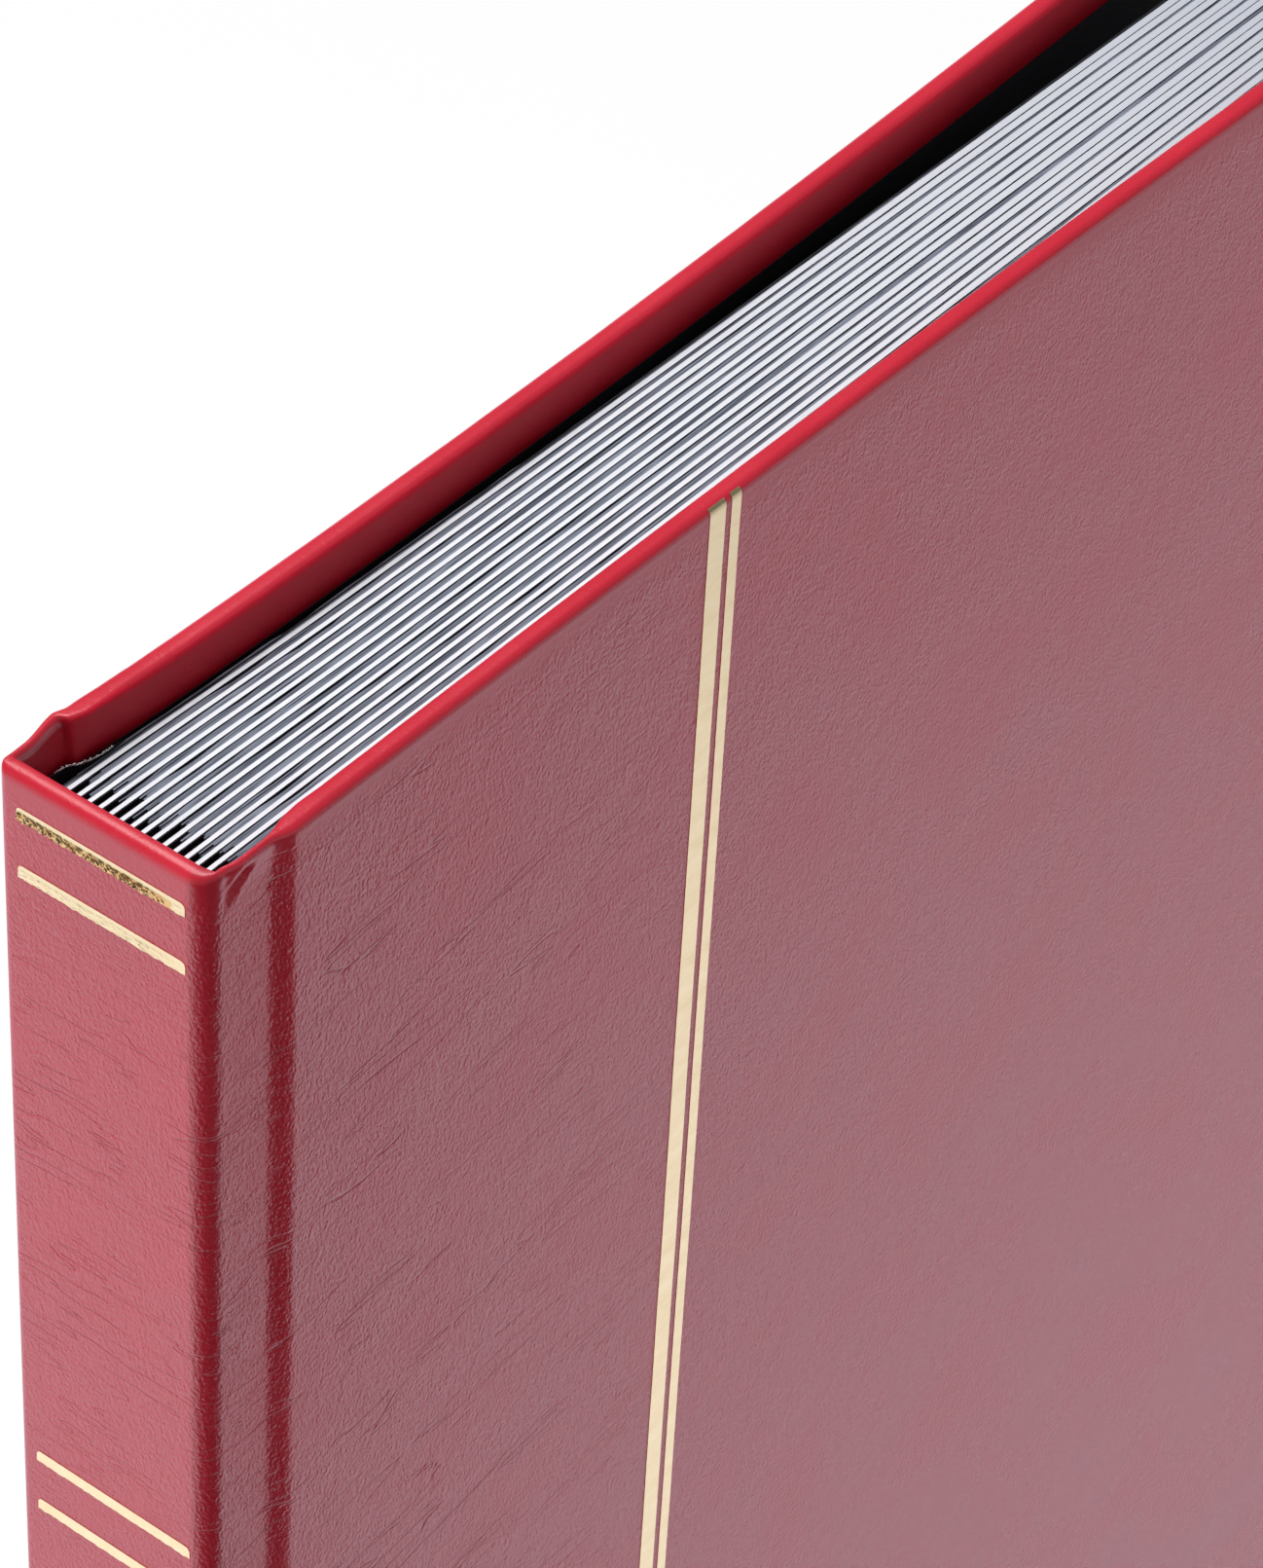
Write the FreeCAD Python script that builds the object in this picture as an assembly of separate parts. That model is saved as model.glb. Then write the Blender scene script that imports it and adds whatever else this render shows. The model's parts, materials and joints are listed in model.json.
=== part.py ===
import FreeCAD, Part
import math
import os

from FreeCAD import Vector

# Stamp album: a case-bound stock book that stands upright on its tail.
# X runs from the spine to the fore edge, Y from the front cover to the back cover, Z from tail to head.
# X is measured from the outer face of the spine while the pieces are built, and is centred on export.

# Case
case_height = 305.0
case_width = 230.0
board_thick = 1.9
spine_board_thick = 1.4
leather_thick = 0.3
paper_thick = 0.15
turn_in = 15.0
edge_radius = 1.0
board_proud = 1.0

# Joint between the spine and each board
groove_start = 8.75
groove_end = 11.05
fold_gap = 0.1

# Leaf block
leaf_count = 16
head_square = 5.2
fore_square = 4.0
endpaper_square = 6.0
card_thick = 0.55
linen_thick = 0.12
linen_flap = 4.0
stem_length = 2.4
stem_taper = 0.3
hinge_gap = 0.455
fore_gap = 0.18
flyleaf_gap = 0.1
lining_thick = 0.7
lining_clearance = 0.2

# Glassine pocket strips and interleaves
strips_per_page = 9
strip_thick = 0.05
pocket_room = 0.06
pocket_foot = 2.0
pocket_spacing = 3.5
strip_side_margin = 4.0
strip_end_margin = 10.0
interleaf_thick = 0.04
interleaf_clearance = 0.02
interleaf_margin = 0.6
interleaf_lap = 1.0

# Grooves of the gold lines, stamped into the leatherette
foil_depth = 0.05
spine_line_width = 1.5
spine_line_step = 7.1
spine_band_head = 8.0
spine_band_third = 94.3
front_line_start = 71.9
front_line_wide = 2.5
front_line_gap = 0.9
front_line_narrow = 1.5
front_line_inset = 1.0

# Thickness of one leaf on each side of the middle of its card
pocket_build = pocket_room + strip_thick
leaf_front = card_thick / 2 + max(linen_thick, pocket_build)
interleaf_start = leaf_front + interleaf_clearance
leaf_back = interleaf_start + interleaf_thick
leaf_thick = leaf_front + leaf_back
hinge_pitch = leaf_thick + hinge_gap
fore_pitch = leaf_thick + fore_gap

# Thickness of the leaf block and of the case around it
flyleaf_room = paper_thick + 2 * flyleaf_gap
block_thick = 2 * flyleaf_room + leaf_thick + (leaf_count - 1) * hinge_pitch
cover_inside = block_thick / 2
cover_wall = 2 * leather_thick + board_thick
cover_outside = cover_inside + paper_thick + cover_wall
spine_half = cover_outside - board_proud

# Spine wall with its round corners, and the fold where each cover turns
spine_inner = leather_thick + spine_board_thick
spine_wall = spine_inner + leather_thick
corner_middle = spine_half - spine_wall
fold_start = spine_wall + fold_gap
fold_x = fold_start + leather_thick / 2
fold_y = spine_half - leather_thick / 2

# Levels through the front cover along Y
outer_face = -cover_outside
board_outer = outer_face + leather_thick
board_inner = board_outer + board_thick
turn_in_face = board_inner + leather_thick
strip_outer = -spine_half
strip_inner = strip_outer + leather_thick
strip_turn_in = strip_inner + leather_thick

# The board is bevelled along the groove, one leather thickness below the slope
groove_run = groove_end - groove_start
groove_slant = math.hypot(groove_run, board_proud)
bevel_end = groove_end + leather_thick * (groove_slant - groove_run) / board_proud
board_edge = bevel_end - groove_run
board_far = case_width - leather_thick
board_low = leather_thick
board_high = case_height - leather_thick
wrap_radius = min(edge_radius, 0.45 * cover_wall)
spine_radius = min(edge_radius, 0.45 * spine_wall)

# Leaf hinges and the small lean of the leaves towards the front cover
lining_face = spine_inner + lining_thick
hinge_x = lining_face + lining_clearance + linen_thick
leaf_reach = case_width - fore_square - hinge_x
leaf_low = head_square
leaf_high = case_height - head_square
lean_step = math.degrees(math.atan((hinge_pitch - fore_pitch) / leaf_reach))
first_leaf_y = flyleaf_room + leaf_front - cover_inside
flyleaf_y = cover_inside - flyleaf_gap - paper_thick / 2


def box(low, high):
    """A box between two opposite corners."""
    size = Vector(*high) - Vector(*low)
    return Part.makeBox(size.x, size.y, size.z, Vector(*low))


def prism(outline, low, high):
    """A straight-sided outline in plan, raised from low to high."""
    points = [Vector(x, y, low) for x, y in outline]
    face = Part.Face(Part.makePolygon(points + points[:1]))
    return face.extrude(Vector(0, 0, high - low))


def mirrored(shape):
    """The same piece on the back cover."""
    return shape.mirror(Vector(0, 0, 0), Vector(0, 1, 0))


def edge_bevel(radius):
    """Bevel of a board's edge that leaves the leatherette its thickness below an outer rounding."""
    return (2 - math.sqrt(2)) * max(radius - leather_thick, leather_thick / 2)


def free_edges(slab, joint_x):
    """The edges of a slab, without those round its end towards the spine."""
    return [edge for edge in slab.Edges if edge.CenterOfMass.x > joint_x + leather_thick / 2]


def cover_board():
    """Grey board of the front cover, bevelled towards the joint."""
    slab = box((bevel_end, board_outer, board_low), (board_far, board_inner, board_high))
    slab = slab.makeChamfer(edge_bevel(wrap_radius), free_edges(slab, bevel_end))
    toe = [
        (board_edge, strip_inner),
        (bevel_end, board_outer),
        (bevel_end, board_inner),
        (board_edge, board_inner),
    ]
    return slab.fuse(prism(toe, board_low, board_high)).removeSplitter()


def cover_window():
    """The part of the cover's inside that the turned-in leatherette leaves bare."""
    over = turn_in_face + leather_thick
    low = turn_in
    high = case_height - turn_in
    on_board = box((board_edge, board_inner, low), (case_width - turn_in, over, high))
    on_joint = box((0, strip_inner, low), (board_edge, over, high))
    return on_board.fuse(on_joint)


def cover_leather(board):
    """Leatherette of the front cover: joint strip, groove, outer face and turned-in edges."""
    wrap = box((groove_end, outer_face, 0), (case_width, turn_in_face, case_height))
    wrap = wrap.makeFillet(wrap_radius, free_edges(wrap, groove_end))
    joint = [
        (fold_start, strip_outer),
        (groove_start, strip_outer),
        (groove_end, outer_face),
        (groove_end, turn_in_face),
        (board_edge - leather_thick, turn_in_face),
        (board_edge - leather_thick, strip_turn_in),
        (fold_start, strip_turn_in),
    ]
    skin = wrap.fuse(prism(joint, 0, case_height)).removeSplitter()
    return skin.cut(board).cut(cover_window())


def stamp_front_lines(leather):
    """Two upright lines stamped into the front cover, a wide one and a narrow one."""
    start = front_line_start
    for width in (front_line_wide, front_line_narrow):
        line = box(
            (start, outer_face - foil_depth, front_line_inset),
            (start + width, outer_face + foil_depth, case_height - front_line_inset),
        )
        leather = leather.cut(line)
        start = start + width + front_line_gap
    return leather


def pastedown(leather):
    """Black endpaper on the inside of the front cover, stepping up over the turned-in leatherette."""
    face = turn_in_face + paper_thick
    sheet = box(
        (board_edge, board_inner, endpaper_square),
        (case_width - endpaper_square, face, case_height - endpaper_square),
    )
    step = turn_in + paper_thick
    recess = box(
        (0, board_inner + paper_thick, step),
        (case_width - step, face, case_height - step),
    )
    return sheet.cut(leather).cut(recess)


def spine_outline(depth, reach):
    """Plan of the spine at a depth below its surface, with round corners, cut off at a reach from the face."""
    radius = spine_wall - depth
    end = math.sqrt(radius ** 2 - (spine_wall - reach) ** 2)
    turn = math.asin((spine_wall - reach) / radius) / 2 + math.pi / 4
    middle = Vector(radius * math.sin(turn), radius * math.cos(turn), 0)
    edges = []
    corners = []
    for side in (-1, 1):
        start = Vector(depth, side * corner_middle, 0)
        via = Vector(spine_wall - middle.x, side * (corner_middle + middle.y), 0)
        stop = Vector(reach, side * (corner_middle + end), 0)
        edges.append(Part.Arc(start, via, stop).toShape())
        corners.append((start, stop))
    edges.append(Part.makeLine(corners[0][0], corners[1][0]))
    edges.append(Part.makeLine(corners[0][1], corners[1][1]))
    return Part.Face(Part.Wire(Part.__sortEdges__(edges)))


def spine_block(depth, reach):
    """The spine's outline raised to its height, and the level edges round its head and tail."""
    low = depth
    high = case_height - depth
    face = spine_outline(depth, reach)
    face.translate(Vector(0, 0, low))
    block = face.extrude(Vector(0, 0, high - low))
    level = [edge for edge in block.Edges if edge.BoundBox.ZLength < leather_thick]
    return block, level


def spine_core():
    """Grey board of the spine."""
    block, level = spine_block(leather_thick, spine_inner)
    return block.makeChamfer(edge_bevel(spine_radius), level)


def spine_leather(board):
    """Leatherette of the spine, turned in over the head and the tail of the spine board."""
    block, level = spine_block(0, spine_wall)
    skin = block.makeFillet(spine_radius, level).cut(board)
    bare = box((spine_inner, -spine_half, turn_in), (spine_wall, spine_half, case_height - turn_in))
    skin = skin.cut(bare)
    for band in (spine_band_head, spine_band_third):
        for offset in (-spine_line_step / 2, spine_line_step / 2):
            for height in (band + offset, case_height - band - offset):
                line = box(
                    (-foil_depth, -corner_middle, height - spine_line_width / 2),
                    (foil_depth, corner_middle, height + spine_line_width / 2),
                )
                skin = skin.cut(line)
    return skin


def spine_lining(leather):
    """Black linen on the back of the leaf block, glued to the spine."""
    sheet = box((spine_inner, -cover_inside, leaf_low), (lining_face, cover_inside, leaf_high))
    return sheet.cut(leather)


def flyleaf():
    """Black free endpaper, drawn at its hinge line."""
    half = paper_thick / 2
    return box((stem_length, -half, leaf_low), (leaf_reach, half, leaf_high))


def leaf_card():
    """White card of one leaf, drawn at its hinge line."""
    half = card_thick / 2
    return box((stem_length, -half, leaf_low), (leaf_reach, half, leaf_high))


def leaf_linen():
    """Linen hinge: a doubled stem that opens into two flaps glued to both faces of the card."""
    card = card_thick / 2
    flap = card + linen_thick
    flap_end = stem_length + linen_flap
    side = [
        (0, linen_thick),
        (stem_length - stem_taper, linen_thick),
        (stem_length, flap),
        (flap_end, flap),
        (flap_end, card),
        (stem_length, card),
    ]
    tip = [(-linen_thick, 0)]
    outline = tip + side + [(x, -y) for x, y in reversed(side)]
    return prism(outline, leaf_low, leaf_high)


def pocket_strip(low, high):
    """One glassine strip, glued along its foot and open at its top."""
    page = card_thick / 2
    profile = [
        (page, low),
        (page + pocket_build, low),
        (page + pocket_build, high),
        (page + pocket_room, high),
        (page + pocket_room, low + pocket_foot),
        (page, low + pocket_foot),
    ]
    start = stem_length + linen_flap + strip_side_margin
    points = [Vector(start, y, z) for y, z in profile]
    face = Part.Face(Part.makePolygon(points + points[:1]))
    return face.extrude(Vector(leaf_reach - strip_side_margin - start, 0, 0))


def leaf_glassine():
    """Pocket strips on both faces of a leaf, and the interleaf that lies over its back."""
    pitch = (leaf_high - leaf_low - 2 * strip_end_margin) / strips_per_page
    pieces = []
    for row in range(strips_per_page):
        low = leaf_low + strip_end_margin + row * pitch
        strip = pocket_strip(low, low + pitch - pocket_spacing)
        pieces.append(strip)
        pieces.append(mirrored(strip))
    interleaf = box(
        (stem_length + linen_flap - interleaf_lap, interleaf_start, leaf_low + interleaf_margin),
        (leaf_reach - interleaf_margin, leaf_back, leaf_high - interleaf_margin),
    )
    pieces.append(interleaf)
    return Part.makeCompound(pieces)


def hung(shape, y, lean):
    """A leaf carried to its hinge, leaning towards the front cover."""
    piece = shape.copy()
    piece.rotate(Vector(0, 0, 0), Vector(0, 0, 1), -lean)
    piece.translate(Vector(hinge_x, y, 0))
    return piece


def build_nodes():
    """Every piece of the album by its name."""
    nodes = {}

    board = cover_board()
    leather = cover_leather(board)
    paper = pastedown(leather)
    nodes["front_board"] = board
    nodes["front_leather"] = stamp_front_lines(leather)
    nodes["front_pastedown"] = paper
    nodes["back_board"] = mirrored(board)
    nodes["back_leather"] = mirrored(leather)
    nodes["back_pastedown"] = mirrored(paper)

    core = spine_core()
    nodes["spine_board"] = core
    nodes["spine_leather"] = spine_leather(core)
    nodes["spine_lining"] = spine_lining(nodes["spine_leather"])

    card = leaf_card()
    linen = leaf_linen()
    glassine = leaf_glassine()
    for index in range(leaf_count):
        name = f"leaf_{index + 1:02d}"
        y = first_leaf_y + index * hinge_pitch
        lean = index * lean_step
        nodes[f"{name}_card"] = hung(card, y, lean)
        nodes[f"{name}_linen"] = hung(linen, y, lean)
        nodes[f"{name}_glassine"] = hung(glassine, y, lean)

    nodes["front_flyleaf"] = hung(flyleaf(), -flyleaf_y, 0)
    nodes["back_flyleaf"] = hung(flyleaf(), flyleaf_y, (leaf_count - 1) * lean_step)
    return nodes


def export(nodes):
    """Each piece in its own file, with the origin below the middle of the case."""
    os.makedirs("parts", exist_ok=True)
    for name, shape in nodes.items():
        shape.translate(Vector(-case_width / 2, 0, 0))
        shape.exportStep(f"parts/{name}.step")


album = build_nodes()
export(album)
print("case", case_width, 2 * cover_outside, case_height, "spine", 2 * spine_half)
print("cover folds at x", fold_x - case_width / 2, "y", fold_y)
print("leaf hinges at x", hinge_x - case_width / 2, "first y", first_leaf_y, "pitch", hinge_pitch)
print("flyleaf hinges at y", flyleaf_y, "lean per leaf", lean_step)
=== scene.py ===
import json
import math
import random

import bpy
from mathutils import Matrix, Vector, noise


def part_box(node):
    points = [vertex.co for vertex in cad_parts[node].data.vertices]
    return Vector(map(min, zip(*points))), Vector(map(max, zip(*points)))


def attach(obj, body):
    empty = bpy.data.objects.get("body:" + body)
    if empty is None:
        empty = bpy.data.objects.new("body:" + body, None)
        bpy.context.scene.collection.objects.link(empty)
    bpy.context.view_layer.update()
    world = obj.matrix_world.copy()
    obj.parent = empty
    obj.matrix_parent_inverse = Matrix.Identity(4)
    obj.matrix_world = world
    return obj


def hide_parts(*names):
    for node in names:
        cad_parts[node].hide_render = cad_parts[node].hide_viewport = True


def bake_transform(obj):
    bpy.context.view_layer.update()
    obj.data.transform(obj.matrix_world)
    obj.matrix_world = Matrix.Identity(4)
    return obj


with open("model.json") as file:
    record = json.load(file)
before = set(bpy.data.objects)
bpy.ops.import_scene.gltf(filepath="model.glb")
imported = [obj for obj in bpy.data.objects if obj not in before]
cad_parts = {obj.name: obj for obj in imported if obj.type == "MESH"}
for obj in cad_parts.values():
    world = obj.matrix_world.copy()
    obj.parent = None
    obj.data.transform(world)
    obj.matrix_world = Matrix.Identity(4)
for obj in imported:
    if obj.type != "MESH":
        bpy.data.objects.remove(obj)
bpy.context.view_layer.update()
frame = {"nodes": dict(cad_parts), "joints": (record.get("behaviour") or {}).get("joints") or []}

# The stamp album's looks. Sizes are in millimetres and become metres when a mesh is made.
# X runs from the spine to the fore edge, Y from the front cover to the back cover, Z from tail to head.
# Angles are in degrees. A wave is its height and its rate along each of the three values it depends on.
MM = 0.001
FRONT = -1
BACK = 1
side_name = {FRONT: "front", BACK: "back"}


def node_box(name):
    """Lowest and highest corner of a CAD node, in millimetres."""
    low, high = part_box(name)
    return low / MM, high / MM


# Places read from the frame
cover_high = node_box("back_leather")[1]
spine_low, spine_high = node_box("spine_leather")
paste_low, paste_high = node_box("back_pastedown")
card_low, card_high = node_box("leaf_01_card")
linen_low, linen_high = node_box("leaf_01_linen")
case_height = cover_high.z
spine_face = spine_low.x
fore_edge = cover_high.x
spine_half = spine_high.y
cover_outer = cover_high.y
paper_face = paste_low.y
joint_x = paste_low.x
leaf_count = sum(name.endswith("_card") for name in frame["nodes"])
hinges = {joint["name"]: Vector(joint["pos_m"]) / MM for joint in frame["joints"]}
leaf_hinge_x = hinges["leaf_01_hinge"].x

# Case
leather_thick = 0.3
paper_thick = 0.15
turn_in = 15.0
turn_in_face = paper_face + paper_thick
strip_thick = 0.7
edge_radius = 1.0
edge_fit = 0.96
cover_edge = (1.0, 1.0)
cover_step_edge = (0.6, 0.6)
cover_step_run = 6.0
spine_outer_edge = (1.2, 1.2)
spine_inner_edge = (0.5, 0.5)
strip_seen_edge = (0.5, 0.95)
strip_hidden_edge = (0.15, 0.15)
strip_edges = {FRONT: (strip_seen_edge, strip_hidden_edge), BACK: (strip_hidden_edge, strip_seen_edge)}
corner_radius = 1.3
groove_start = spine_face + 8.35
groove_end = spine_face + 11.55
inner_step = {FRONT: (joint_x - 1.5, joint_x + 6.5), BACK: (joint_x - 0.3, joint_x + 0.4)}
board_start = joint_x + 1.5
strip_run = 1.5
seam_y = 6.0
spine_corner = {FRONT: 2.3, BACK: 1.2}
half_width = {FRONT: spine_half, BACK: spine_half + 0.7}
strip_rise = {FRONT: 0.0, BACK: 0.3}
fold_window = (0.05, 1.1)
inner_lengths = (case_height + 1.6, 2 * case_height)

# Bends of the covers
flare = 4.3
flare_power = 2.2
flare_start = -100.0
hollow = 0.62
hollow_middle = -45.0
hollow_curve = 0.000185
joint_lift = 0.62
lift_reach = 12.0
straight_from = 30.0

# Swelling of the joint at head and tail: its height, its run across the joint and its reach along it
strip_swelling = {
    FRONT: (0.42, (groove_start - 6.0, groove_start - 3.5), 3.5),
    BACK: (0.75, (groove_start - 4.6, groove_start + 0.4), 4.0),
}

# Folds drawn into the front joint: the share of the depth, then the start, bottom and end of each
fold_depth = 0.42
fold_offset = 1.2
fold_slant = 1.05
fold_shapes = ((1.0, -1.9, -0.1, 0.65), (0.3, -3.8, -2.5, -1.9))
fold_fade = (6.5, 3.0)
fold_rim = (0.7, 1.8)
fold_through = 0.8

# Unevenness of the leatherette
cover_waves = ((0.10, 0.018, 0.018, 3.1), (0.02, 0.11, 0.11, 7.7))
relief_start = (groove_end, groove_end + 12.0)
relief_end = (fore_edge, fore_edge - 8.0)
relief_through = 0.6
rim_waves = ((0.06, 0.3, 4.0, 0.2), (0.03, 1.1, 4.0, 0.6))
rim_reach = 2.0

# Mesh. A step is a length, a count, or the finest step, the coarsest one and the growth between them.
height_steps = (0.3, 3.5, 1.055)
cover_steps = (0.3, 3.5, 1.09)
spine_step = 0.8
corner_steps = 12
strip_step = 0.25
strip_creep = 0.04
arc_steps = 6
smooth_angle = 40.0
case_angle = 65.0

# Leatherette's surface: grain in cells per millimetre, relief as depth and strength
leather_reds = ((0.52, 0.006, 0.026), (0.58, 0.009, 0.032))
# Painted shade: the darker red of the creases
crease_shade_red = (0.25, 0.002, 0.010)
# Painted shade: the darker red of the rounded front corner of the spine
corner_shade_red = (0.33, 0.002, 0.012)
roughness_spread = 0.06
cloud_scale = (0.05, 0.05, 1.0)
swell_scale = (0.35, 0.30, 1.0)
pebble_scale = (3.0, 2.1, 1.0)
fine_scale = (3.6, 2.2, 1.0)
grain_turn = -12.0
swell_relief = (0.16, 0.5)
pebble_relief = (0.14, 0.65)
fine_relief = (0.12, 0.65)
crease_relief = (-0.13, 0.9)
crease_width = 0.014
crease_shade = 0.22
rim_start = (case_height - 4.5, case_height - 1.5)
rim_end = (case_height + 2.5, case_height + 5.0)
rim_grain = 0.2
bent_from = (case_height - 105.0, case_height - 60.0, 0.25, 1.0)
bent_until = (case_height - 32.0, case_height - 18.0, 1.0, 0.35)
spine_crease_fade = (15.0, 24.0, 0.65, 0.0)
cover_crease_start = (14.0, 20.0)
cover_crease_fade = (30.0, 95.0, 1.0, 0.0)
# Painted shade along the rounded front corner of the spine: where it starts and ends along the case, and how
# strong it is
corner_shade_start = (9.7, 10.4)
corner_shade_end = (12.2, 14.0, 1.0, 0.0)
corner_shade_share = 0.5

# Creases: their scale and turn, then the scale of their patches and the share that stays bare
spine_creases = ((0.06, 0.42, 1.0), 0.0, (0.07, 0.12, 1.0), 0.42)
cover_creases = ((0.034, 0.28, 1.0), -5.0, (0.06, 0.10, 1.0), 0.46)
patch_edge = 0.1

# Colours of the other materials, as pairs between which they vary. The card's painted shade, darker towards
# the fore edge, grows over a run in metres.
noise_middle = (0.3, 0.7)
noise_core = (0.35, 0.65)
card_whites = ((0.68, 0.70, 0.75), (0.75, 0.765, 0.80))
card_far_shade = (0.41, 0.435, 0.49)
card_shade_run = (-0.06, 0.08)
# Painted shade: near-black for the faces of the white cards, for the dark narrow gaps between them
page_shade_blacks = ((0.028, 0.030, 0.038), (0.045, 0.048, 0.058))
endpaper_blacks = ((0.009, 0.010, 0.014), (0.016, 0.017, 0.023))
# Interleaf: the glassine's own grey-blue, darkened as painted shade of the narrow gaps between the cards
interleaf_greys_and_shade = ((0.075, 0.085, 0.115), (0.20, 0.22, 0.275))
pocket_greys = ((0.40, 0.45, 0.53), (0.62, 0.67, 0.75))
pocket_clearness = 0.5
linen_blacks = ((0.006, 0.006, 0.009), (0.022, 0.023, 0.030))
foil_golds = ((1.0, 0.85, 0.53), (0.98, 0.81, 0.46))
creased_golds = ((0.98, 0.70, 0.32), (0.80, 0.42, 0.15))
worn_range = (0.35, 0.75)
thread_greys = ((0.55, 0.56, 0.58), (0.80, 0.81, 0.83))

# Foil lines
foil_lift = 0.05
foil_thick = 0.12
line_width = 1.5
line_gap = 7.1
spine_bands = (8.0, 94.3)
line_start = spine_corner[FRONT] - spine_half + 0.1
line_end = spine_half - spine_corner[FRONT] + 0.6
line_corner = 0.6
corner_depth = 0.5
line_low_waves = ((0.12, 1.4, 5.0, 0.3), (0.06, 5.0, 3.0, 0.9))
line_high_waves = ((0.02, 3.0, 4.0, 1.7),)
line_creasing = {0: 1.0, 1: 0.35}
faint_creasing = 0.06
crumple_band = (0.72, 0.5)
crumple_run = (line_start - 1.0, line_start + 6.0)
crumple_waves = ((0.30, 1.7, 2.6, 0.4), (0.18, 3.8, 4.8, 0.8))
creased_from = 0.3
foil_step = 0.2
foil_rows = 8
creased_step = 0.08
creased_rows = 20
front_line_start = spine_face + 71.9
front_lines = ((0.0, 2.5), (3.4, 1.5))
front_line_margin = 0.24
front_line_steps = (0.08, 0.6, 1.2)
front_line_rows = 4
front_edge_waves = (((0.03, 0.9, 9.0, 2.2),), ((0.03, 0.9, 9.0, 5.2),))

# Endpapers
paper_overhang = 0.45
paste_thick = 0.1
paste_sink = 0.8 * leather_thick
paste_sink_run = (turn_in - 1.0, turn_in + 1.5)
paste_x_steps = (0.8, 4.0, 1.25)
paste_z_steps = (0.8, 5.0, 1.25)
paste_waves = ((0.02, 0.2, 0.2, 1.0),)
flyleaf_x_step = 6.0
flyleaf_z_step = 12.0
flyleaf_waves = ((0.04, 0.04, 0.03, 9.0),)

# Leaves
first_leaf_y = hinges["leaf_01_hinge"].y
hinge_step = hinges["leaf_02_hinge"].y - first_leaf_y
leaf_low_z = card_low.z
leaf_high_z = card_high.z
card_start = card_low.x
card_end = card_high.x
linen_end = linen_high.x
last_low, last_high = node_box(f"leaf_{leaf_count:02d}_card")
last_drop = (last_high.y - last_low.y) - (card_high.y - card_low.y)
last_lean = last_drop / (card_end - card_start)
settle_depth = 0.6
settle_from = (leaf_hinge_x, leaf_hinge_x + 40.0)
settle_until = (card_end + 20.0, leaf_hinge_x + 60.0)
pair_close = 0.06
middle_gap = 0.12
pair_run = (-80.0, 20.0)
page_waves = ((0.02, 0.05, 0.02, 3.7),)
hinge_thick = 0.48
page_swell = 0.36
page_swell_run = (-70.0, 60.0)
card_step = 5.0
card_row_steps = (1.0, 16.0, 1.6)
face_slope = 0.7

# Linen hinge of a leaf
linen_short = 0.05
linen_row_step = 4.0
linen_step = 0.5
stem_gap = 0.1
stem_cloth = 0.1
stem_opening = 0.8
flap_sunk = 0.01
flap_thick = 0.12
flap_cut = ((1.2, 2.3, 5.0, 0.4),)
flap_fray = ((0.3, 0.6, 2.3, 1.0),)

# Interleaf: each sheet's start and end as shares of the gap
interleaf_sheets = ((0.09, 0.33), (0.40, 0.62), (0.69, 0.90))
loose_from = 0.8
sheet_thin = 0.06
sheet_inset = 0.6
sheet_low = leaf_low_z + sheet_inset
sheet_high = leaf_high_z - 0.12
sheet_rows = (0.0, 0.2, 0.4, 0.6, 0.8, 0.93, 0.975, 0.99, 0.995, 1.0)
sheet_steps = (0.5, 2.0, 1.03)
sheet_limits = (0.04, 0.96)
sheet_overlap = 0.5
start_waves = ((4.0, 3.3, 6.0, 0.2),)
thick_run = (sheet_high - 4.0, sheet_high - 0.5)
loose_run = (sheet_high - 30.0, sheet_high)
pressed_run = (-70.0, 20.0)
pressed_share = 0.6
bulge_rates = (0.11, 5.1, 0.01)
bulge_from = 0.08
bulge_share = 0.9
shift_share = 0.6
sway_waves = ((0.06, 0.3, 8.7, 9.0),)
top_waves = ((0.12, 0.25, 4.4, 7.0),)

# Pockets
strips_per_page = 9
strip_margin = 4.0
strip_x_step = 12.0
pocket_margin = 10.0
pocket_pitch = (leaf_high_z - leaf_low_z - 2 * pocket_margin) / strips_per_page
pocket_rows = (0.0, 1.0, 2.0, 8.0, 16.0, pocket_pitch - 3.5)
pocket_depth = 0.03
pocket_shut = 0.15 * pocket_depth
pocket_open = 0.35 * pocket_depth
pocket_film = 0.4 * pocket_depth
pocket_opening = (1.0, 6.0)

# Linen over the inside of each joint, as places from the spine's face and from the middle
tape_thick = 0.08
tape_columns = 48
tape_row_step = 4.0
tape_span = (leaf_low_z + 0.2, leaf_high_z + 0.3)
linen_fold = ((2.4, -1.1), (2.9, -0.6))
linen_paths = {
    FRONT: (
        *((2.45, 10.35), (2.46, 11.0), (2.62, 11.5)),
        *((5.2, 11.45), (8.0, 10.78), (10.0, 10.6), (12.5, 10.6)),
    ),
    BACK: (
        *((2.45, 10.35), (2.46, 11.0), (2.62, 11.55)),
        *((5.9, 11.85), (7.9, 11.7), (9.2, 10.95), (11.4, 10.42)),
        *((13.7, 10.4), (16.2, 10.62), (17.6, 10.76)),
    ),
}
heading_step = 0.01
fray_waves = ((0.12, 40.0, 2.0, 0.7),)
fray_run = (leaf_high_z - 3.0, leaf_high_z)
sink_depth = 0.8
sink_shares = (0.72, 0.95)
sink_run = (leaf_high_z - 20.0, leaf_high_z)
thread_seed = 11
thread_count = 60
thread_radius = 0.065
thread_tip = 0.5
thread_arch = 0.06
thread_shares = (0.36, 0.38)
thread_foot_z = leaf_high_z + 0.22
thread_lean = (-0.3, 0.3)
thread_spread = (-0.12, 0.1)
thread_rise = (0.1, 0.3)

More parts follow.
